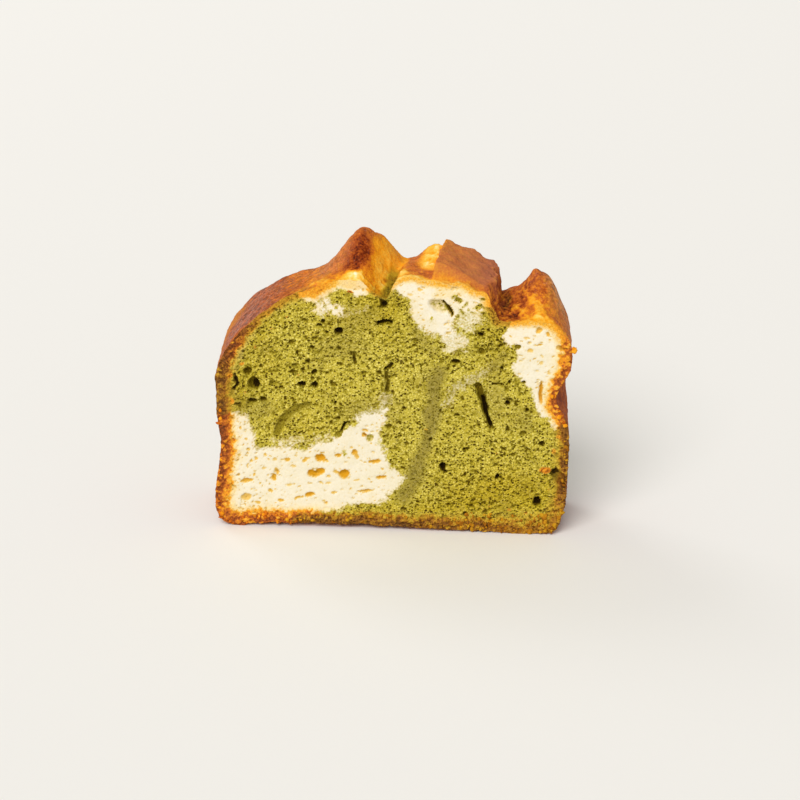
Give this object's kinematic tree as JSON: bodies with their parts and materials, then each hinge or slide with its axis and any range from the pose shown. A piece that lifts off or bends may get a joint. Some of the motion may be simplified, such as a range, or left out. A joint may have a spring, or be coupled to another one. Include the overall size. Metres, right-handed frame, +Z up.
{
  "type": "matcha loaf cake",
  "caption": "Slice of loaf cake standing on its base, cut on both faces, with green and cream marbled crumb, browned sides and a cracked, peaked crown.",
  "frame": {"origin": "middle of the base, on the surface that the slice stands on", "axes": "+X across the slice, to the right as the front cut is seen; +Y from the front cut to the back cut; +Z up, from the base to the crown"},
  "size_m": [0.0858, 0.02, 0.0738],
  "materials": {
    "matcha_cake": "matte, porous green and cream crumb inside a satin brown crust"
  },
  "bodies": {
    "root": {"matcha_loaf_slice": "matcha_cake"}
  },
  "joints": []
}
